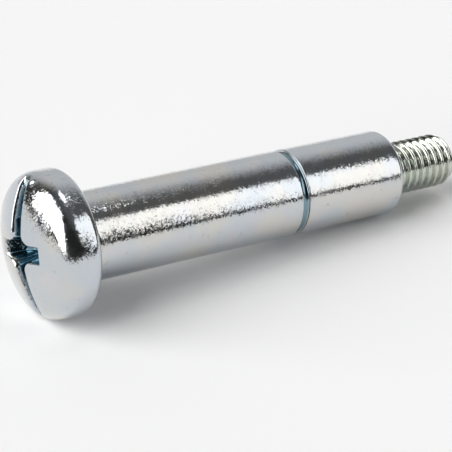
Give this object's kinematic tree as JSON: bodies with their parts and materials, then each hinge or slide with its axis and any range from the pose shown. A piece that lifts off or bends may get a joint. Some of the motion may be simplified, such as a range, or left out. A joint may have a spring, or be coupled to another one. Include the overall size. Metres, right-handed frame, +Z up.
{
  "type": "shoulder bolt",
  "caption": "One-piece shoulder bolt: pan head with a slot and cross recess, a plain shoulder with a ring groove, and a short threaded end.",
  "frame": {"origin": "on the bolt's axis at the bearing face under the head", "axes": "+Z up; the bolt lies as it rests, with its axis in the XZ plane, the thread towards +X and falling 4.27 degrees below +X"},
  "size_m": [0.0717, 0.0204, 0.0205],
  "materials": {
    "zinc_plated_steel": "bright zinc plate with a faint blue passivation"
  },
  "bodies": {
    "root": {"shoulder_bolt": "zinc_plated_steel"}
  },
  "joints": []
}
